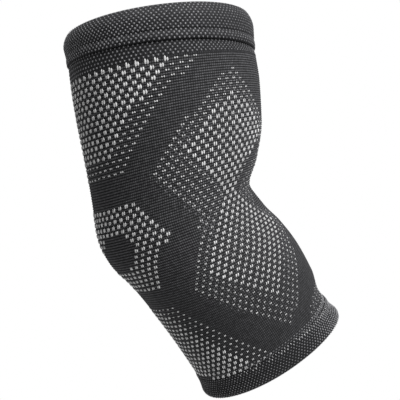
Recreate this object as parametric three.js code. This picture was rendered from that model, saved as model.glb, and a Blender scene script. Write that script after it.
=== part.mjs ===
// A pull-on knitted elbow support, shown in the form it has on a bent arm, with no arm in it.
// It is one shaped tube of elastic knit with a doubled welt at each end. The upper arm comes in
// at the top, the forearm leaves at the bottom, the point of the elbow is at -X and the crook of
// the arm is at +X. The origin lies on the elbow's own turning axis, which runs along Y.
import * as THREE from 'three';

// Driving sizes, in millimetres and degrees
const upperLength = 111;         // middle line, from the upper edge to the elbow's axis
const forearmLength = 93.5;      // middle line, from the elbow's axis to the lower edge
const upperLean = 6;             // how far the upper arm leans back from the vertical
const elbowBend = 29;            // how far the forearm turns from the upper arm
const bendRadius = 55;           // of the middle line at the elbow
const upperRowTilt = 6.5;        // slope of the knitted rows at the upper welt's lip
const lowerRowTilt = 33;         // slope of the knitted rows at the lower edge
const elbowBack = 44;            // from the middle line to the point of the elbow
const elbowFront = 42;           // from the middle line to the crook
const elbowSide = 42;            // from the middle line to each side of the elbow
const knitThickness = 2;
const weltThickness = 3.4;
const weltProud = 0.5;           // how far a welt's face stands out from the knit beside it
const lipProud = 0.9;            // how much further its sewn lip bulges
const lipHeight = 5;
const upperWeltHeight = 19;
const lowerWeltHeight = 13.5;
const upperRoll = 4;             // how far the upper edge rolls inwards
const upperRollHeight = 9;
const lowerRoll = 2;
const lowerRollHeight = 4.5;
const seamGap = 0.3;             // left between a welt and the knit that it is sewn to
const crookAbove = 9.5;          // height of the crook's crease above the elbow's axis
const crookDepth = 2.2;
const crookHeight = 6;           // half the height over which the crease dies out
const crookSpread = 60;          // how far round to each side it runs

// Numbers of faces
const stepsRound = 56;
const coarseRow = 7;             // longest step between rows of the tube
const fineRow = 3.5;             // and near the crook's crease
const fineReach = 12;
const foldSteps = 4;             // round the fold at a welt's edge
const faceSteps = 3;             // along a welt's face

// The arm's form under the knit. Place runs from -1 at the upper edge through 0 at the elbow's
// axis to 1 at the lower edge. Back, front and side are shares of the three elbow sizes, point
// says how much the section narrows towards the back, as it does over the elbow's bone, and tilt
// is the share of the way from the upper rows' slope to the lower ones'.
const armForm = [
  { place: -1.00, back: 1.24, front: 1.23, side: 1.16, point: 0.00, tilt: 0.09 },
  { place: -0.83, back: 1.20, front: 1.21, side: 1.15, point: 0.00, tilt: 0.00 },
  { place: -0.76, back: 1.20, front: 1.235, side: 1.14, point: 0.00, tilt: 0.14 },
  { place: -0.63, back: 1.185, front: 1.26, side: 1.13, point: 0.00, tilt: 0.20 },
  { place: -0.41, back: 1.14, front: 1.25, side: 1.09, point: 0.02, tilt: 0.32 },
  { place: -0.22, back: 1.115, front: 1.14, side: 1.04, point: 0.08, tilt: 0.42 },
  { place: -0.09, back: 1.11, front: 1.03, side: 1.00, point: 0.14, tilt: 0.49 },
  { place: 0.06, back: 1.07, front: 1.10, side: 0.99, point: 0.18, tilt: 0.57 },
  { place: 0.22, back: 0.985, front: 1.18, side: 0.98, point: 0.12, tilt: 0.64 },
  { place: 0.39, back: 0.95, front: 1.205, side: 0.95, point: 0.04, tilt: 0.72 },
  { place: 0.63, back: 0.93, front: 1.165, side: 0.91, point: 0.00, tilt: 0.83 },
  { place: 0.80, back: 0.935, front: 1.075, side: 0.87, point: 0.00, tilt: 0.90 },
  { place: 0.89, back: 0.95, front: 1.08, side: 0.84, point: 0.00, tilt: 0.91 },
  { place: 1.00, back: 1.00, front: 1.15, side: 0.82, point: 0.00, tilt: 0.88 },
];

// The lip along a welt's sewn edge: up is a share of lipHeight, out a share of lipProud, counted
// from the welt's face
const lipForm = [
  { up: 1.00, out: -0.4 },
  { up: 0.55, out: 0.8 },
  { up: 0.25, out: 1.0 },
  { up: 0.06, out: 0.3 },
  { up: 0.00, out: -1.2 },
];

const sleeveLength = upperLength + forearmLength;
const radians = THREE.MathUtils.degToRad;

// Slope of one column at a row, level at the ends and at each high and low point
function slopeAt(row, column) {
  if (row === 0 || row === armForm.length - 1) return 0;
  const [before, here, after] = armForm.slice(row - 1, row + 2);
  const up = (here[column] - before[column]) / (here.place - before.place);
  const down = (after[column] - here[column]) / (after.place - here.place);
  return up * down <= 0 ? 0 : (2 * up * down) / (up + down);
}

// Value of one column at a distance down the middle line, on a smooth curve through the rows
function formAt(down, column) {
  const past = down - upperLength;
  const place = THREE.MathUtils.clamp(past / (past < 0 ? upperLength : forearmLength), -1, 1);
  const next = Math.max(1, armForm.findIndex((row) => row.place >= place));
  const [low, high] = [armForm[next - 1], armForm[next]];
  const span = high.place - low.place;
  const t = (place - low.place) / span;
  const left = (1 - t) ** 2 * ((1 + 2 * t) * low[column] + t * span * slopeAt(next - 1, column));
  const right = t ** 2 * ((3 - 2 * t) * high[column] - (1 - t) * span * slopeAt(next, column));
  return left + right;
}

// Point of the middle line: straight, then round the elbow, then straight again
function middleAt(down) {
  const past = down - upperLength;
  const halfArc = (bendRadius * radians(elbowBend)) / 2;
  const onArc = THREE.MathUtils.clamp(past, -halfArc, halfArc);
  const turn = radians(upperLean + elbowBend / 2);
  const angle = turn + onArc / bendRadius;
  const straight = past - onArc;
  return {
    x: bendRadius * (Math.cos(turn) - Math.cos(angle)) + straight * Math.sin(angle),
    z: bendRadius * (Math.sin(turn) - Math.sin(angle)) - straight * Math.cos(angle),
  };
}

// Point of the tube at a distance down the middle line and an angle round from the crook, moved
// outwards from the knit's outer face
function skinPoint(down, angle, out) {
  const middle = middleAt(down);
  const tilt = radians(THREE.MathUtils.lerp(upperRowTilt, lowerRowTilt, formAt(down, 'tilt')));
  const ahead = Math.cos(angle);
  const aside = Math.sin(angle);
  const fromCrook = (down - (upperLength - crookAbove)) / crookHeight;
  const spread = Math.min(1, Math.acos(ahead) / radians(crookSpread));
  const crease = crookDepth * Math.exp(-(fromCrook ** 2)) * Math.cos((spread * Math.PI) / 2) ** 2;
  const reach = ahead > 0
    ? elbowFront * formAt(down, 'front') - crease
    : elbowBack * formAt(down, 'back');
  const narrowing = 1 - formAt(down, 'point') * Math.min(0, ahead) ** 2;
  const forward = (reach + out) * ahead;
  const sideways = (elbowSide * formAt(down, 'side') * narrowing + out) * aside;
  return new THREE.Vector3(
    middle.x + forward * Math.cos(tilt),
    sideways,
    middle.z + forward * Math.sin(tilt),
  );
}

// A closed ring whose section is a loop of points, each a distance down and a distance outwards
function ringMesh(name, loop, material) {
  const positions = [];
  const faces = [];
  loop.forEach(({ down, out }, row) => {
    for (let step = 0; step < stepsRound; step += 1) {
      positions.push(...skinPoint(down, (2 * Math.PI * step) / stepsRound, out).toArray());
      const nextStep = (step + 1) % stepsRound;
      const here = row * stepsRound;
      const below = ((row + 1) % loop.length) * stepsRound;
      faces.push(here + step, below + step, here + nextStep);
      faces.push(here + nextStep, below + step, below + nextStep);
    }
  });
  const geometry = new THREE.BufferGeometry();
  geometry.setAttribute('position', new THREE.Float32BufferAttribute(positions, 3));
  geometry.setIndex(faces);
  geometry.computeVertexNormals();
  const mesh = new THREE.Mesh(geometry, material);
  mesh.name = name;
  return mesh;
}

// Distances down the tube at which it has a row of faces, closer together near the crook
function tubeRows(start, end) {
  const crook = upperLength - crookAbove;
  const stops = [start, crook - fineReach, crook, crook + fineReach, end];
  const rows = [];
  for (let stop = 0; stop < stops.length - 1; stop += 1) {
    const near = stops[stop] === crook || stops[stop + 1] === crook;
    const count = Math.ceil((stops[stop + 1] - stops[stop]) / (near ? fineRow : coarseRow));
    for (let step = 0; step < count; step += 1) {
      rows.push(stops[stop] + ((stops[stop + 1] - stops[stop]) * step) / count);
    }
  }
  rows.push(end);
  return rows;
}

// Section of a welt as a loop of points, each a distance from its outer edge and a distance
// outwards: over the fold at the edge, down the outer face and round the lip, and back up inside
function weltLoop(height, roll, rollHeight) {
  const half = weltThickness / 2;
  const outer = (fromEdge) => weltProud - roll * Math.max(0, 1 - fromEdge / rollHeight) ** 2;
  const inner = (fromEdge) => outer(fromEdge) - weltThickness;
  const loop = [];
  for (let step = 0; step <= foldSteps; step += 1) {
    const turn = (Math.PI * step) / foldSteps;
    const fromEdge = half * (1 - Math.sin(turn));
    loop.push({ fromEdge, out: outer(fromEdge) - half - half * Math.cos(turn) });
  }
  const faceRows = [];
  for (let step = 1; step <= faceSteps; step += 1) {
    faceRows.push(half + ((height - lipHeight - half) * step) / faceSteps);
  }
  for (const fromEdge of faceRows) loop.push({ fromEdge, out: outer(fromEdge) });
  for (const { up, out } of lipForm) {
    loop.push({ fromEdge: height - up * lipHeight, out: outer(height) + out * lipProud });
  }
  loop.push({ fromEdge: height, out: inner(height) });
  for (const fromEdge of faceRows.reverse()) loop.push({ fromEdge, out: inner(fromEdge) });
  return loop;
}

const knitMaterial = new THREE.MeshStandardMaterial({ color: 0x3a3a3c, roughness: 0.9, metalness: 0 });
const weltMaterial = new THREE.MeshStandardMaterial({ color: 0x4a4a4c, roughness: 0.9, metalness: 0 });

// Knitted tube between the welts, its outer face down and its inner face back up
const rows = tubeRows(upperWeltHeight + seamGap, sleeveLength - lowerWeltHeight - seamGap);
const knitSleeve = ringMesh('knit_sleeve', [
  ...rows.map((down) => ({ down, out: 0 })),
  ...[...rows].reverse().map((down) => ({ down, out: -knitThickness })),
], knitMaterial);

// Welt round the upper arm
const upperCuff = ringMesh(
  'upper_cuff',
  weltLoop(upperWeltHeight, upperRoll, upperRollHeight).map(({ fromEdge, out }) => ({ down: fromEdge, out })),
  weltMaterial,
);

// Welt round the forearm, the same section turned over
const lowerCuff = ringMesh(
  'lower_cuff',
  weltLoop(lowerWeltHeight, lowerRoll, lowerRollHeight)
    .map(({ fromEdge, out }) => ({ down: sleeveLength - fromEdge, out }))
    .reverse(),
  weltMaterial,
);

const elbowBrace = new THREE.Group();
elbowBrace.add(knitSleeve, upperCuff, lowerCuff);
export default elbowBrace;
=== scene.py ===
# A pull-on knitted elbow support on a bent arm that isn't there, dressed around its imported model.
# Sizes are in millimetres, apart from the studio's, and MM turns them into the frame's metres.
import math

import bpy
import numpy as np
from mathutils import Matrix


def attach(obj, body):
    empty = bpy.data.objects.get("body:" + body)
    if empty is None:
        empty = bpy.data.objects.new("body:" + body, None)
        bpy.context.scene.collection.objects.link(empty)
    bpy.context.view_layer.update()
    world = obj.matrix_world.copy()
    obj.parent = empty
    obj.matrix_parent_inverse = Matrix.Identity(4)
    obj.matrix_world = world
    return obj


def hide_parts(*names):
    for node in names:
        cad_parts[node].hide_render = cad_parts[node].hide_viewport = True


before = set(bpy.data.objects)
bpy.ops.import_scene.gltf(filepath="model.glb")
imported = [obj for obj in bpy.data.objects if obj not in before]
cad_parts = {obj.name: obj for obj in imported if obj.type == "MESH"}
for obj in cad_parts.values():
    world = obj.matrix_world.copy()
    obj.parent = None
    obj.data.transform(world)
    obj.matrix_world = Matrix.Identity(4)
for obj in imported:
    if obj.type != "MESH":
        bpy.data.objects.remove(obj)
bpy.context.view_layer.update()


# The view: the sleeve is seen level from its side and a little from behind, close enough for the
# near side to look larger than the far one. The lens follows from the pixels that one unit of
# slope takes up in a picture 400 pixels wide.
MM = 0.001
view_turn = math.radians(15)
view_distance = 345 * MM
view_middle = (9.5 * MM, 0.0, 13 * MM)
picture_size = 400
pixels_per_slope = 605

camera = bpy.data.cameras.new("camera")
camera.sensor_width = 36
camera.lens = camera.sensor_width * pixels_per_slope / picture_size
camera_object = bpy.data.objects.new("camera", camera)
camera_object.location = (
    view_middle[0] - view_distance * math.sin(view_turn),
    view_middle[1] - view_distance * math.cos(view_turn),
    view_middle[2],
)
camera_object.rotation_euler = (math.pi / 2, 0, -view_turn)
bpy.context.scene.collection.objects.link(camera_object)
bpy.context.scene.camera = camera_object


# The arm's form: a circular knit has no cut or seam, and takes the form of what fills it. Its
# rows slope more towards the wrist, so both ends are square to the arm. Every piece lies on this
# surface: down is the distance along the middle line and turn the angle round from the crook.
upper_length = 111.0
forearm_length = 93.5
sleeve_length = upper_length + forearm_length
upper_lean = math.radians(6)
elbow_bend = math.radians(29)
bend_radius = 55.0
upper_row_tilt = math.radians(6.5)
lower_row_tilt = math.radians(33)
elbow_back = 44.0
elbow_front = 42.0
elbow_side = 42.0
crook_above = 9.5
crook_depth = 2.2
crook_height = 6.0
crook_spread = math.radians(60)

# The arm's form from the upper edge, -1, past the elbow, 0, to the lower edge, 1: shares of the
# three elbow sizes, how far the back narrows to a point, and how far the rows have tilted
arm_form = {
    "place": (-1.00, -0.83, -0.76, -0.63, -0.41, -0.22, -0.09, 0.06, 0.22, 0.39, 0.63, 0.80, 0.89, 1.00),
    "back": (1.24, 1.20, 1.20, 1.185, 1.14, 1.115, 1.11, 1.07, 0.985, 0.95, 0.93, 0.935, 0.95, 1.00),
    "front": (1.23, 1.21, 1.235, 1.26, 1.25, 1.14, 1.03, 1.10, 1.18, 1.205, 1.165, 1.075, 1.08, 1.15),
    "side": (1.16, 1.15, 1.14, 1.13, 1.09, 1.04, 1.00, 0.99, 0.98, 0.95, 0.91, 0.87, 0.84, 0.82),
    "point": (0.00, 0.00, 0.00, 0.00, 0.02, 0.08, 0.14, 0.18, 0.12, 0.04, 0.00, 0.00, 0.00, 0.00),
    "tilt": (0.09, 0.00, 0.14, 0.20, 0.32, 0.42, 0.49, 0.57, 0.64, 0.72, 0.83, 0.90, 0.91, 0.88),
}


def form_at(down, column):
    """A column's share at a distance down, on a smooth curve that never overshoots its values."""
    places = np.array(arm_form["place"])
    shares = np.array(arm_form[column])
    steps = np.diff(shares) / np.diff(places)
    slopes = np.zeros(len(places))
    same_way = steps[:-1] * steps[1:] > 0
    sums = np.where(same_way, steps[:-1] + steps[1:], 1)
    slopes[1:-1] = np.where(same_way, 2 * steps[:-1] * steps[1:] / sums, 0)
    past = down - upper_length
    place = np.clip(past / np.where(past < 0, upper_length, forearm_length), -1, 1)
    low = np.clip(np.searchsorted(places, place) - 1, 0, len(places) - 2)
    span = places[low + 1] - places[low]
    way = (place - places[low]) / span
    above = (1 - way) ** 2 * ((1 + 2 * way) * shares[low] + way * span * slopes[low])
    below = way**2 * ((3 - 2 * way) * shares[low + 1] - (1 - way) * span * slopes[low + 1])
    return above + below


def skin_point(down, turn, out):
    """Points of the knit's outer face, moved outwards by out, from arrays in millimetres."""
    down, turn, out = np.broadcast_arrays(
        np.asarray(down, float), np.asarray(turn, float), np.asarray(out, float)
    )
    past = down - upper_length
    half_arc = bend_radius * elbow_bend / 2
    on_arc = np.clip(past, -half_arc, half_arc)
    middle_turn = upper_lean + elbow_bend / 2
    angle = middle_turn + on_arc / bend_radius
    straight = past - on_arc
    middle_x = bend_radius * (math.cos(middle_turn) - np.cos(angle)) + straight * np.sin(angle)
    middle_z = bend_radius * (math.sin(middle_turn) - np.sin(angle)) - straight * np.cos(angle)
    tilt = upper_row_tilt + (lower_row_tilt - upper_row_tilt) * form_at(down, "tilt")
    ahead = np.cos(turn)
    from_crook = (down - (upper_length - crook_above)) / crook_height
    spread = np.minimum(1, np.arccos(np.clip(ahead, -1, 1)) / crook_spread)
    crease = crook_depth * np.exp(-(from_crook**2)) * np.cos(spread * math.pi / 2) ** 2
    front = elbow_front * form_at(down, "front") - crease
    back = elbow_back * form_at(down, "back")
    narrowing = 1 - form_at(down, "point") * np.minimum(0, ahead) ** 2
    forward = (np.where(ahead > 0, front, back) + out) * ahead
    sideways = (elbow_side * form_at(down, "side") * narrowing + out) * np.sin(turn)
    x = middle_x + forward * np.cos(tilt)
    z = middle_z + forward * np.sin(tilt)
    return np.stack([x, sideways, z], -1) * MM


def skin_ways(down, turn):
    """Outward and downward directions of the knit at arrays of places."""
    down_reach = 0.2
    turn_reach = 0.005
    downward = skin_point(down + down_reach, turn, 0) - skin_point(down - down_reach, turn, 0)
    around = skin_point(down, turn + turn_reach, 0) - skin_point(down, turn - turn_reach, 0)
    downward /= np.linalg.norm(downward, axis=-1, keepdims=True)
    outward = np.cross(downward, around)
    outward /= np.linalg.norm(outward, axis=-1, keepdims=True)
    return outward, downward


# The knit: one circular knit of 272 wales and 156 rows, charcoal polyamide over covered elastane.
# Each row shows as a fine ridge round the arm, with painted shade in the valleys between, so the fabric
# looks finely striped and dull.
wales = 272
rows = 156
row_height = sleeve_length / rows
row_relief = 0.16
relief_down = (27.0, 32.0, 110.0, 140.0)
relief_share = (0.4, 1.0, 1.0, 0.4)
ridge_steps = 4
columns = wales // 2
knit_thickness = 2.0
inner_step = 3.0

# The sleeve's two ends, beside the welts. A groove runs under the upper welt's lip, and a band
# with the welt's stitch lies under that. At the back the sleeve swells to meet the lower welt
upper_welt_height = 19.0
lower_welt_height = 13.5
seam_gap = 0.3
tight_seam_gap = 0.08
upper_band_end = 26.5
groove_depth = 0.9
groove_width = 2.6
welt_proud = 0.5
swell_width = 3.0

# Each column of faces in radians round from the crook, and in degrees from it on either side. The
# knit is pulled tight at the crook and at the back. So the upper lip and its groove fade towards
# both, and the lower lip towards the back
column_turn = np.arange(columns) * 2 * math.pi / columns
from_front = np.degrees(np.minimum(column_turn, 2 * math.pi - column_turn))
lip_turn = (12, 45, 110, 160)
upper_lip_share = (0.0, 1.0, 1.0, 0.3)
lower_lip_share = (1.0, 1.0, 1.0, 0.0)
upper_lip_fade = np.interp(from_front, lip_turn, upper_lip_share)
lower_lip_fade = np.interp(from_front, lip_turn, lower_lip_share)


def add_node(tree, kind, settings=None, inputs=None):
    """Adds a node with its settings, and links or sets its inputs."""
    node = tree.nodes.new(kind)
    for name, value in (settings or {}).items():
        setattr(node, name, value)
    for key, value in (inputs or {}).items():
        if isinstance(value, bpy.types.NodeSocket):
            tree.links.new(value, node.inputs[key])
        else:
            node.inputs[key].default_value = value
    return node


def linear_colour(hex_code):
    """An sRGB hex colour as the linear values that a shader takes."""
    shares = [int(hex_code[start : start + 2], 16) / 255 for start in (0, 2, 4)]
    linear = [share / 12.92 if share <= 0.04045 else ((share + 0.055) / 1.055) ** 2.4 for share in shares]
    return (*linear, 1.0)


def ring_piece(name, loop, material):
    """A closed knitted ring. The loop's points go down outside and up inside, as (down, out, row).

    How far a point stands out is one number, or one for each column of faces."""
    down, row = (np.array([point[part] for point in loop])[:, None] for part in (0, 2))
    out = np.stack([np.broadcast_to(point[1], columns) for point in loop])
    points = skin_point(down, column_turn, out).reshape(-1, 3)
    here = np.arange(len(loop))[:, None] * columns + np.arange(columns)[None, :]
    beside = np.roll(here, -1, axis=1)
    below = np.roll(here, -1, axis=0)
    below_beside = np.roll(beside, -1, axis=0)
    faces = np.stack([here, below, below_beside, beside], -1).reshape(-1, 4)
    mesh = bpy.data.meshes.new(name)
    mesh.from_pydata(points.tolist(), [], faces.tolist())
    mesh.polygons.foreach_set("use_smooth", [True] * len(mesh.polygons))
    # The chart map counts wales across and rows down, so a pattern can follow the stitches
    row_top = np.broadcast_to(row, (len(loop), columns))
    row_low = np.roll(row_top, -1, axis=0)
    wale_left = np.broadcast_to(np.arange(columns) * wales / columns, (len(loop), columns))
    wale_right = wale_left + wales / columns
    chart = np.stack(
        [
            np.stack([wale_left, row_top], -1),
            np.stack([wale_left, row_low], -1),
            np.stack([wale_right, row_low], -1),
            np.stack([wale_right, row_top], -1),
        ],
        2,
    )
    mesh.uv_layers.new(name="chart").data.foreach_set("uv", chart.reshape(-1))
    # The bake map unrolls the ring, one row of faces of the loop after another
    section = np.stack([down[:, 0], out[:, 0]], 1)
    steps = np.linalg.norm(np.diff(np.vstack([section, section[:1]]), axis=0), axis=1)
    along = np.concatenate([[0], np.cumsum(steps)]) / steps.sum()
    bake = np.empty_like(chart)
    bake[..., 0] = chart[..., 0] / wales
    bake[:, :, (0, 3), 1] = along[:-1, None, None]
    bake[:, :, (1, 2), 1] = along[1:, None, None]
    mesh.uv_layers.new(name="OFBake").data.foreach_set("uv", bake.reshape(-1))
    mesh.materials.append(material)
    piece = bpy.data.objects.new(name, mesh)
    bpy.context.scene.collection.objects.link(piece)
    return piece


# How light each part of a stitch is painted, as a share of its yarn: the valleys between rows and
# wales get painted shade. Between two rows of the knit, counted from the upper edge, it tightens
# towards the wrist: its rows come to show less, its wales more, and its ridges are painted darker
tight_from_row = 95.0
tight_to_row = 125.0
tight_valley_share = 0.2
ridge_share = 1.0
tight_ridge_share = 0.54
wale_gap_share = 0.25
tight_wale_gap_share = 0.0
row_crest = 0.6
wale_crest = -0.4
patches_per_mm = 0.7
patch_noise = (0.35, 0.65)
patch_share = (0.6, 1.0)
stitch_share = (0.65, 1.15)


def knit_material(name, yarn, gap_shade, valley_share):
    """Stocking stitch: the yarn's colour on each stitch, and a near-black colour between rows and wales as
    painted shade.

    valley_share is how light the painted shade in the valley between two rows stays above the elbow."""
    material = bpy.data.materials.new(name)
    material.use_nodes = True
    tree = material.node_tree
    shader = tree.nodes["Principled BSDF"]
    multiply = {"operation": "MULTIPLY"}
    cosine = {"operation": "COSINE"}
    chart = add_node(tree, "ShaderNodeUVMap", {"uv_map": "chart"})
    place = add_node(tree, "ShaderNodeSeparateXYZ", inputs={0: chart.outputs[0]})
    row_turn = add_node(tree, "ShaderNodeMath", multiply, {0: place.outputs[1], 1: 2 * math.pi})
    wale_turn = add_node(tree, "ShaderNodeMath", multiply, {0: place.outputs[0], 1: 2 * math.pi})
    row_wave = add_node(tree, "ShaderNodeMath", cosine, {0: row_turn.outputs[0]})
    wale_wave = add_node(tree, "ShaderNodeMath", cosine, {0: wale_turn.outputs[0]})
    tighter = {0: place.outputs[1], 1: tight_from_row, 2: tight_to_row}
    valley = add_node(
        tree, "ShaderNodeMapRange", inputs={**tighter, 3: valley_share, 4: tight_valley_share}
    )
    ridge = add_node(
        tree, "ShaderNodeMapRange", inputs={**tighter, 3: ridge_share, 4: tight_ridge_share}
    )
    row_share = add_node(
        tree,
        "ShaderNodeMapRange",
        inputs={0: row_wave.outputs[0], 1: -1.0, 2: row_crest, 3: valley.outputs[0], 4: ridge.outputs[0]},
    )
    wale_gap = add_node(
        tree, "ShaderNodeMapRange", inputs={**tighter, 3: wale_gap_share, 4: tight_wale_gap_share}
    )
    wale_share = add_node(
        tree,
        "ShaderNodeMapRange",
        inputs={0: wale_wave.outputs[0], 1: 1.0, 2: wale_crest, 3: wale_gap.outputs[0]},
    )
    stitch = add_node(
        tree, "ShaderNodeMath", multiply, {0: row_share.outputs[0], 1: wale_share.outputs[0]}
    )
    # The yarn's shade wanders along its length, in patches a stitch or two across
    position = add_node(tree, "ShaderNodeTexCoord")
    patches = add_node(
        tree,
        "ShaderNodeTexNoise",
        inputs={"Vector": position.outputs["Object"], "Scale": patches_per_mm / MM, "Detail": 4.0},
    )
    limits = {1: patch_noise[0], 2: patch_noise[1], 3: patch_share[0], 4: patch_share[1]}
    shade = add_node(tree, "ShaderNodeMapRange", inputs={0: patches.outputs[0], **limits})
    # No two stitches turn the same side of the yarn to the light
    cell = add_node(tree, "ShaderNodeVectorMath", {"operation": "FLOOR"}, {0: chart.outputs[0]})
    chance = add_node(tree, "ShaderNodeTexWhiteNoise", inputs={"Vector": cell.outputs[0]})
    turned = add_node(
        tree,
        "ShaderNodeMapRange",
        inputs={0: chance.outputs["Value"], 3: stitch_share[0], 4: stitch_share[1]},
    )
    uneven = add_node(tree, "ShaderNodeMath", multiply, {0: shade.outputs[0], 1: turned.outputs[0]})
    lit = add_node(tree, "ShaderNodeMath", multiply, {0: stitch.outputs[0], 1: uneven.outputs[0]})
    # Painted shade: the ramp darkens the yarn towards a near-black colour in the valleys between rows and
    # wales
    ramp = add_node(tree, "ShaderNodeValToRGB", inputs={0: lit.outputs[0]})
    ramp.color_ramp.elements[0].color = linear_colour(gap_shade)
    ramp.color_ramp.elements[1].color = linear_colour(yarn)
    bump = add_node(
        tree,
        "ShaderNodeBump",
        inputs={"Height": stitch.outputs[0], "Strength": 0.6, "Distance": 0.25 * MM},
    )
    tree.links.new(ramp.outputs[0], shader.inputs["Base Color"])
    tree.links.new(bump.outputs[0], shader.inputs["Normal"])
    shader.inputs["Roughness"].default_value = 0.85
    shader.inputs["Specular IOR Level"].default_value = 0.12
    shader.inputs["Sheen Weight"].default_value = 0.06
    shader.inputs["Sheen Roughness"].default_value = 0.45
    shader.inputs["Sheen Tint"].default_value = linear_colour("c8c8cc")
    return material


# Spun-dyed charcoal yarn in plain knit: dull, and its fine fibres catch light at the edges, which
# the sheen gives. The valleys between its stitches are painted near black as shade
knit = knit_material("charcoal_stocking_stitch", yarn="4c4c4e", gap_shade="080809", valley_share=0.0)

sleeve_top = upper_welt_height + seam_gap
sleeve_end = sleeve_length - lower_welt_height - tight_seam_gap
ridge_count = round((sleeve_end - sleeve_top) / row_height * ridge_steps)


def sleeve_out(down):
    """How far each column stands out: less in the groove under the upper lip, and more where the
    sleeve meets the lower welt at the back."""
    groove = groove_depth * upper_lip_fade * max(0, 1 - (down - sleeve_top) / groove_width) ** 2
    swell = welt_proud * (1 - lower_lip_fade) * max(0, 1 - (sleeve_end - down) / swell_width) ** 2
    return swell - groove


sleeve_loop = []
for step in range(ridge_count + 1):
    down = sleeve_top + (sleeve_end - sleeve_top) * step / ridge_count
    row = down / row_height
    relief = row_relief * float(np.interp(down, relief_down, relief_share))
    ridge = relief * (math.cos(2 * math.pi * row) - 1)
    sleeve_loop.append((down, sleeve_out(down) + ridge, row))
inner_count = round((sleeve_end - sleeve_top) / inner_step)
for step in range(inner_count + 1):
    down = sleeve_end - (sleeve_end - sleeve_top) * step / inner_count
    sleeve_loop.append((down, -knit_thickness, down / row_height))
sleeve = ring_piece("knitted_sleeve", sleeve_loop, knit)
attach(sleeve, "root")
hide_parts("knit_sleeve")


# The welts: each end is knitted double and turned over, and its free edge is sewn to the sleeve.
# The fold makes a soft round rim, and the sewn edge stands up in a low lip.
welt_thickness = 3.4
welt_relief = row_relief * relief_share[0]
welt_inner_step = 1.5
lip_height = 5.0
upper_lip_proud = 0.9
lower_lip_proud = 0.35
fold_steps = 10
upper_roll = 4.0
upper_roll_height = 9.0
lower_roll = 2.0
lower_roll_height = 4.5

# The lip's section, from its start to the sleeve: shares of its height, and of how proud it stands
lip_up = (1.15, 1.00, 0.88, 0.72, 0.55, 0.40, 0.25, 0.14, 0.06, 0.02, 0.00)
lip_out = (0.00, -0.65, -0.25, 0.50, 0.80, 0.97, 1.00, 0.80, 0.30, -0.50, -1.20)


def welt_face(from_edge, height, roll, roll_height, lip_proud):
    """How far a welt's face stands out from the sleeve's at a distance from its edge."""
    rounded = welt_proud - roll * max(0, 1 - from_edge / roll_height) ** 2
    up = (height - from_edge) / lip_height
    return rounded + lip_proud * float(np.interp(up, lip_up[::-1], lip_out[::-1]))


def welt_loop(height, roll, roll_height, lip_proud):
    """Section of a welt from its fold, down its face, round its lip and back, as (from edge, out)."""
    half = welt_thickness / 2

    def face(from_edge, lip=lip_proud):
        return welt_face(from_edge, height, roll, roll_height, lip)

    loop = []
    for step in range(fold_steps + 1):
        bend = math.pi * step / fold_steps
        from_edge = half * (1 - math.sin(bend))
        loop.append((from_edge, face(from_edge) - half - half * math.cos(bend)))
    ridge = row_height / ridge_steps
    for step in range(1, int((height - half) / ridge)):
        from_edge = half + step * ridge
        wave = welt_relief * (math.cos(2 * math.pi * from_edge / row_height) - 1)
        loop.append((from_edge, face(from_edge) + wave))
    loop.append((height, face(height)))
    inner_count = round((height - half) / welt_inner_step)
    for step in range(inner_count):
        from_edge = height - (height - half) * step / inner_count
        loop.append((from_edge, face(from_edge, lip=0) - welt_thickness))
    return loop


# The same charcoal yarn. Its stitches lie behind the grey ones, so its colour is painted darker than
# the sleeve's, as their shade, and its rows show less
welt_knit = knit_material("charcoal_welt_stitch", yarn="2a2a2c", gap_shade="0a0a0b", valley_share=0.7)

upper_lip = upper_lip_proud * upper_lip_fade
lower_lip = lower_lip_proud * lower_lip_fade
upper_form = (upper_welt_height, upper_roll, upper_roll_height, upper_lip)
lower_form = (lower_welt_height, lower_roll, lower_roll_height, lower_lip)
upper_loop = [(from_edge, out, from_edge / row_height) for from_edge, out in welt_loop(*upper_form)]
lower_loop = [
    (sleeve_length - from_edge, out, (sleeve_length - from_edge) / row_height)
    for from_edge, out in reversed(welt_loop(*lower_form))
]
upper_welt = ring_piece("upper_welt", upper_loop, welt_knit)
lower_welt = ring_piece("lower_welt", lower_loop, welt_knit)
for welt, node in ((upper_welt, "upper_cuff"), (lower_welt, "lower_cuff")):
    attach(welt, "root")
    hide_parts(node)
# The band of the sleeve beside the upper welt has the welt's stitch and its darker painted shade
sleeve.data.materials.append(welt_knit)
band_end = round((upper_band_end - sleeve_top) / (sleeve_end - sleeve_top) * ridge_count)
in_band = np.repeat(np.arange(len(sleeve_loop)) < band_end, columns)
sleeve.data.polygons.foreach_set("material_index", in_band.astype(int).tolist())


# The pale stitches: where the chart asks for one, a pale yarn is knitted in place of the charcoal
# one over two wales. It floats over one row in a sparse zone and over two in a full one, and it
# stands a little proud. Sites alternate from line to line like the squares of a chessboard.
site_lines = rows // 2
line_height = sleeve_length / site_lines

# Each line of sites lies a little lower than its number gives, and rises towards the crook
line_shift_down = (25.0, 55.0, 110.0, 150.0)
line_shift = (1.1, 1.4, 3.4, 2.8)
line_slope_down = (40.0, 75.0, 130.0, 204.0)
line_slope = (0.0, 1.7, 1.7, 1.0)

# Width, length and height of a strand in each kind of dot, and of a speck
full_size = (0.9, 2.1, 0.55)
sparse_size = (0.72, 0.85, 0.4)
faint_size = (0.5, 0.55, 0.3)
speck_size = (0.7, 0.6, 0.3)
strand_sides = 6
strand_rings = 4

# Strands are wider away from the crook. On the forearm those of full dots are shorter, those of
# sparse dots narrower, and specks smaller
width_share_turn = (25, 85, 125)
width_share = (0.64, 1.0, 1.12)
length_share_down = (98.0, 118.0, 165.0, 180.0)
length_share = (1.0, 0.8, 0.8, 1.0)
sparse_share_down = (100.0, 130.0)
sparse_share = (1.0, 0.8)

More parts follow.
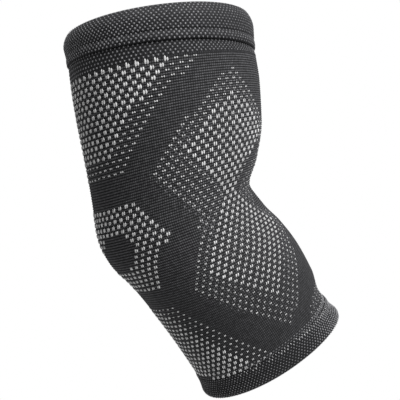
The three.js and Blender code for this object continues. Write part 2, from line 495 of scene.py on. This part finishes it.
# Each of a dot's two strands lies this share of a wale from its middle. From the elbow down they
# lean, and above it the right one of a full dot lies higher
strand_apart = 0.49
forearm_sparse_apart = 0.33
lean_down = (30.0, 90.0, 118.0, 140.0, 158.0, 180.0)
strand_lean = np.radians((0.0, 2.0, 20.0, 30.0, 30.0, 14.0))
lean_growth = 1.6
right_rise_down = (100.0, 130.0)
right_rise = (0.03, 0.0)
first_strand_extra = 0.8

# How far a dot strays down or up, and how many degrees a speck strays round
dot_stray = 0.15
speck_stray = 0.6

# Outlines of the zones, each corner as (millimetres down, degrees round from the crook). They
# are the same on both sides of the arm.
full_zones = [
    [(26, 95.5), (29, 100), (67, 143), (67, 181), (26, 181)],
    [(45, 63.5), (71, 97), (105, 62.5), (105, 59.5), (93, 57), (88, 51), (82, 44), (77, 36), (70, 31)],
    [(96, 66), (133, 103), (165, 70.5), (127, 32.5), (96, 62)],
    [(88.5, 131.5), (107.5, 109.5), (134.5, 138), (134.5, 181), (88.5, 181)],
    [(148, 158), (153, 149), (169, 132), (184, 115), (190, 115), (190, 181), (148, 181)],
]
sparse_zones = [
    [(25.5, 82), (75, 135.5), (75, 181), (25.5, 181)],
    [(36.2, 70), (78.5, 117.5), (108, 90), (140, 119.5), (181, 76), (180.5, 70), (166.5, 52.5), (158, 45)]
    + [(150, 38), (139, 33), (127, 34), (104, 57), (93, 55), (82, 44), (73, 22), (35, 61)],
    [(145, 181), (145, 140), (187, 97), (190, 97), (190, 181)],
]
speckled_zone = sparse_zones[1]
faint_zones = [
    [(73, 22), (80, 5), (92, 5), (104, 35), (113, 40), (121, 25), (133, 24), (150, 38), (104, 60)],
    [(176, 0), (176, 36), (186, 58), (190, 58), (190, 0)],
]
bare_zones = [
    [(104, 163), (103, 141), (109, 134), (120, 144), (121, 181), (111, 181), (109, 166)],
]


def inside(outline, down, degrees):
    """Whether a place on the chart lies inside an outline."""
    crossings = 0
    for (down_a, turn_a), (down_b, turn_b) in zip(outline, outline[1:] + outline[:1]):
        if (turn_a > degrees) != (turn_b > degrees):
            share = (degrees - turn_a) / (turn_b - turn_a)
            crossings += down < down_a + share * (down_b - down_a)
    return crossings % 2 == 1


def stitch_tree(material):
    """Geometry Nodes that put one strand of yarn on each charted place."""
    tree = bpy.data.node_groups.new("yarn_strands", "GeometryNodeTree")
    tree.interface.new_socket("Geometry", in_out="INPUT", socket_type="NodeSocketGeometry")
    tree.interface.new_socket("Fullness", in_out="INPUT", socket_type="NodeSocketFloat")
    tree.interface.new_socket("Unevenness", in_out="INPUT", socket_type="NodeSocketFloat")
    tree.interface.new_socket("Seed", in_out="INPUT", socket_type="NodeSocketInt")
    tree.interface.new_socket("Geometry", in_out="OUTPUT", socket_type="NodeSocketGeometry")
    given = add_node(tree, "NodeGroupInput")
    # A strand is a ball one unit wide, laid with its poles along the yarn and stretched to size
    strand = add_node(
        tree,
        "GeometryNodeMeshUVSphere",
        inputs={"Segments": strand_sides, "Rings": strand_rings, "Radius": 0.5},
    )
    laid = add_node(
        tree,
        "GeometryNodeTransform",
        inputs={"Geometry": strand.outputs["Mesh"], "Rotation": (math.pi / 2, 0, 0)},
    )
    vector = {"data_type": "FLOAT_VECTOR"}
    outward = add_node(tree, "GeometryNodeInputNamedAttribute", vector, {"Name": "outward"})
    downward = add_node(tree, "GeometryNodeInputNamedAttribute", vector, {"Name": "downward"})
    size = add_node(tree, "GeometryNodeInputNamedAttribute", vector, {"Name": "strand_size"})
    facing = add_node(
        tree,
        "FunctionNodeAxesToRotation",
        {"primary_axis": "Z", "secondary_axis": "Y"},
        {0: outward.outputs[0], 1: downward.outputs[0]},
    )
    spread = {0: given.outputs["Fullness"], 1: given.outputs["Unevenness"]}
    least = add_node(tree, "ShaderNodeMath", {"operation": "SUBTRACT"}, spread)
    most = add_node(tree, "ShaderNodeMath", {"operation": "ADD"}, spread)
    vary = add_node(
        tree,
        "FunctionNodeRandomValue",
        {"data_type": "FLOAT"},
        {2: least.outputs[0], 3: most.outputs[0], "Seed": given.outputs["Seed"]},
    )
    scale = add_node(
        tree,
        "ShaderNodeVectorMath",
        {"operation": "SCALE"},
        {0: size.outputs[0], "Scale": vary.outputs[1]},
    )
    placed = add_node(
        tree,
        "GeometryNodeInstanceOnPoints",
        inputs={
            "Points": given.outputs["Geometry"],
            "Instance": laid.outputs[0],
            "Rotation": facing.outputs[0],
            "Scale": scale.outputs[0],
        },
    )
    whole = add_node(tree, "GeometryNodeRealizeInstances", inputs={0: placed.outputs[0]})
    smooth = add_node(tree, "GeometryNodeSetShadeSmooth", inputs={0: whole.outputs[0]})
    painted = add_node(
        tree,
        "GeometryNodeSetMaterial",
        inputs={"Geometry": smooth.outputs[0], "Material": material},
    )
    add_node(tree, "NodeGroupOutput", inputs={0: painted.outputs[0]})
    return tree


tufts_per_mm = 0.9


def yarn_material(name, colour, shadow):
    """Soft textured yarn: its fibres' fuzz is drawn as tufts a stitch wide, coarse enough to show."""
    material = bpy.data.materials.new(name)
    material.use_nodes = True
    tree = material.node_tree
    shader = tree.nodes["Principled BSDF"]
    position = add_node(tree, "ShaderNodeTexCoord")
    fibres = add_node(
        tree,
        "ShaderNodeTexNoise",
        inputs={"Vector": position.outputs["Object"], "Scale": tufts_per_mm / MM, "Detail": 2.0},
    )
    ramp = add_node(tree, "ShaderNodeValToRGB", inputs={0: fibres.outputs[0]})
    ramp.color_ramp.elements[0].position = 0.3
    ramp.color_ramp.elements[1].position = 0.6
    ramp.color_ramp.elements[0].color = linear_colour(shadow)
    ramp.color_ramp.elements[1].color = linear_colour(colour)
    bump = add_node(
        tree,
        "ShaderNodeBump",
        inputs={"Height": fibres.outputs[0], "Strength": 0.4, "Distance": 0.1 * MM},
    )
    tree.links.new(ramp.outputs[0], shader.inputs["Base Color"])
    tree.links.new(bump.outputs[0], shader.inputs["Normal"])
    shader.inputs["Roughness"].default_value = 0.8
    shader.inputs["Specular IOR Level"].default_value = 0.3
    return material


def strand_piece(name, strands, material, unevenness, seed):
    """One plain mesh of yarn strands, from rows of (down, turn, out, width, length, height)."""
    down, turn, out, *size = np.array(strands).T
    outward, downward = skin_ways(down, turn)
    # From the elbow down the strands lean towards the crook at their tops, alike on both sides
    side = np.clip(lean_growth * np.sin(turn), -1, 1)
    lean = (np.interp(down, lean_down, strand_lean) * side)[:, None]
    downward = downward * np.cos(lean) + np.cross(outward, downward) * np.sin(lean)
    chart = bpy.data.meshes.new(name + "_chart")
    chart.from_pydata(skin_point(down, turn, out).tolist(), [], [])
    for title, values in (
        ("outward", outward),
        ("downward", downward),
        ("strand_size", np.stack(size, -1) * MM),
    ):
        chart.attributes.new(title, "FLOAT_VECTOR", "POINT").data.foreach_set("vector", values.reshape(-1))
    source = bpy.data.objects.new(name + "_chart", chart)
    bpy.context.scene.collection.objects.link(source)
    modifier = source.modifiers.new("strands", "NODES")
    modifier.node_group = stitch_tree(material)
    sockets = {item.name: item.identifier for item in modifier.node_group.interface.items_tree}
    modifier[sockets["Fullness"]] = 1.0
    modifier[sockets["Unevenness"]] = unevenness
    modifier[sockets["Seed"]] = seed
    evaluated = source.evaluated_get(bpy.context.evaluated_depsgraph_get())
    mesh = bpy.data.meshes.new_from_object(evaluated)
    bpy.data.objects.remove(source)
    mesh.name = name
    piece = bpy.data.objects.new(name, mesh)
    bpy.context.scene.collection.objects.link(piece)
    return piece


wander = np.random.default_rng(11)
pale_strands = []
ground_specks = []
for line in range(site_lines):
    for column in range(columns):
        off_square = (column + line) % 2 == 1
        down = line * line_height
        degrees = 360 * column / columns
        slope = float(np.interp(down, line_slope_down, line_slope))
        down += float(np.interp(down, line_shift_down, line_shift))
        down -= slope * math.cos(math.radians(degrees))
        near_side = min(degrees, 360 - degrees)
        if any(inside(zone, down, near_side) for zone in bare_zones):
            continue
        if any(inside(zone, down, near_side) for zone in full_zones):
            size = full_size
        elif any(inside(zone, down, near_side) for zone in sparse_zones):
            size = sparse_size
        elif any(inside(zone, down, near_side) for zone in faint_zones):
            size = faint_size
        else:
            continue
        # Thin bits of the pale yarn show between the faint dots, and between the sparse ones of the
        # large zone beside the crook
        speckled = size is sparse_size and inside(speckled_zone, down, near_side)
        if size is faint_size or speckled:
            place = math.radians(degrees + wander.uniform(-speck_stray, speck_stray))
            speck_share = float(np.interp(down, sparse_share_down, sparse_share))
            speck = (speck_share * side for side in speck_size)
            ground_specks.append((down + line_height / 2, place, 0.0, *speck))
        if off_square:
            continue
        # The first line's left strands reach up to the band above
        rise = float(np.interp(down, right_rise_down, right_rise)) if size is full_size else 0
        extra = first_strand_extra if size is full_size and down < upper_band_end + row_height else 0
        width, length, height = size
        width *= float(form_at(np.array(down), "side"))
        width *= float(np.interp(near_side, width_share_turn, width_share))
        apart = strand_apart
        if size is full_size:
            length *= float(np.interp(down, length_share_down, length_share))
        else:
            width *= float(np.interp(down, sparse_share_down, sparse_share))
            apart = float(np.interp(down, sparse_share_down, (strand_apart, forearm_sparse_apart)))
        down += wander.uniform(-dot_stray, dot_stray)
        left, right = (math.radians(degrees + side * apart * 360 / wales) for side in (-1, 1))
        out = sleeve_out(down)[column]
        pale_strands.append((down + rise - extra / 2, left, out, width, length + extra, height))
        pale_strands.append((down - rise, right, out, width, length, height))

# Undyed textured polyamide: its crimped fibres scatter light, so it is a dull, greyish white
pale_yarn = yarn_material("undyed_textured_yarn", colour="b2b2b2", shadow="828282")
pale_stitches = strand_piece("pale_stitches", pale_strands, pale_yarn, unevenness=0.12, seed=3)
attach(pale_stitches, "root")


# The welt stitches: on the welts and in the band beside each, every second wale shows one grey
# stitch, and the next row shows the wales between, so the fabric is speckled like a bird's eye.
speckle_size = (0.85, 1.05, 0.45)
lip_speckle_size = (0.95, 1.2, 0.55)
lower_speckle_size = (0.66, 0.8, 0.4)
speckle_turn = (45, 85)
upper_speckle_share = (0.6, 1.0)
lower_speckle_share = (1.5, 0.85)
lower_band_height = 2.5
bare_edge = 1.0
lower_band_start = sleeve_end - lower_band_height
lower_rim = sleeve_length - bare_edge
speckle_rows = [row for row in range(1, rows) if row * row_height < upper_band_end - row_height]
speckle_rows += [row for row in range(rows) if lower_band_start < row * row_height < lower_rim]
speckles = []
for row in speckle_rows:
    down = row * row_height
    out = sleeve_out(down)
    if down < upper_welt_height:
        out = welt_face(down, *upper_form)
    elif down > sleeve_length - lower_welt_height:
        out = welt_face(sleeve_length - down, *lower_form)
    on_lip = upper_welt_height - lip_height < down < upper_welt_height - bare_edge
    size = lip_speckle_size if on_lip else speckle_size
    shares = upper_speckle_share
    if down > upper_length:
        size, shares = lower_speckle_size, lower_speckle_share
    for column in range(columns):
        turn = 2 * math.pi * (2 * column + row % 2) / wales
        near_side = math.degrees(min(turn, 2 * math.pi - turn))
        share = float(np.interp(near_side, speckle_turn, shares))
        speckles.append((down, turn, out[column], *(share * side for side in size)))

# The same yarn stretched thin over the charcoal, so it reads as mid grey
grey_yarn = yarn_material("thin_grey_yarn", colour="6c6c6e", shadow="464648")
welt_stitches = strand_piece("welt_stitches", speckles, grey_yarn, unevenness=0.12, seed=7)
ground_stitches = strand_piece("ground_stitches", ground_specks, grey_yarn, unevenness=0.4, seed=9)
for piece in (welt_stitches, ground_stitches):
    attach(piece, "root")


# The seam links: the lower welt is linked on with the pale yarn, drawn tight, so that small bits of
# it show in two uneven lines along the seam on the arm's sides.
link_lines = (0.1, 1.2)
link_size = (0.76, 0.85, 0.45)
link_turn = (20, 45, 95, 130)
link_chance = (0.0, 0.9, 0.9, 0.0)
link_stray = 0.2
least_link_share = 0.55
links = []
for wale in range(wales):
    degrees = 360 * wale / wales
    chance = float(np.interp(min(degrees, 360 - degrees), link_turn, link_chance))
    if wander.random() < chance:
        down = sleeve_end + link_lines[wale % 2] + wander.uniform(-link_stray, link_stray)
        out = welt_face(sleeve_length - down, *lower_form)[wale // 2]
        share = wander.uniform(least_link_share, 1.0)
        links.append((down, math.radians(degrees), out, *(share * side for side in link_size)))
seam_links = strand_piece("seam_links", links, pale_yarn, unevenness=0.1, seed=5)
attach(seam_links, "root")


# The studio: a round pale floor well below the sleeve, white all round, and large soft lights,
# the strongest from the right and in front.
floor_depth = 0.45
floor_radius = 0.6
floor_sides = 96
floor_mesh = bpy.data.meshes.new("floor")
rim = [2 * math.pi * side / floor_sides for side in range(floor_sides)]
floor_mesh.from_pydata(
    [(floor_radius * math.cos(turn), floor_radius * math.sin(turn), -floor_depth) for turn in rim],
    [],
    [tuple(range(floor_sides))],
)
floor = bpy.data.objects.new("floor", floor_mesh)
bpy.context.scene.collection.objects.link(floor)
paper = bpy.data.materials.new("white_paper")
paper.use_nodes = True
paper.node_tree.nodes["Principled BSDF"].inputs["Base Color"].default_value = linear_colour("f0f0f0")
paper.node_tree.nodes["Principled BSDF"].inputs["Roughness"].default_value = 0.9
floor_mesh.materials.append(paper)

# The room is plain white to look at, but gives the sleeve only this share of its light
room_light = 0.42
world = bpy.data.worlds.new("studio")
world.use_nodes = True
background = world.node_tree.nodes["Background"]
background.inputs["Color"].default_value = (1, 1, 1, 1)
path = add_node(world.node_tree, "ShaderNodeLightPath")
seen = add_node(
    world.node_tree,
    "ShaderNodeMapRange",
    inputs={0: path.outputs["Is Camera Ray"], 3: room_light, 4: 1.0},
)
world.node_tree.links.new(seen.outputs[0], background.inputs["Strength"])
bpy.context.scene.world = world

# Each light: where it stands and its width, in metres, and its power in watts
studio_lights = {
    "key": ((0.55, -0.75, 0.55), 0.5, 21.0),
    "top": ((-0.1, -0.2, 0.95), 0.6, 12.0),
}
for name, (place, width, power) in studio_lights.items():
    light = bpy.data.lights.new(name, "AREA")
    light.size = width
    light.energy = power
    lamp = bpy.data.objects.new(name, light)
    lamp.location = place
    way = np.array(view_middle) - np.array(place)
    pitch = math.acos(-way[2] / np.linalg.norm(way))
    lamp.rotation_euler = (pitch, 0, math.atan2(way[1], way[0]) - math.pi / 2)
    bpy.context.scene.collection.objects.link(lamp)

bpy.context.scene.view_settings.view_transform = "Standard"
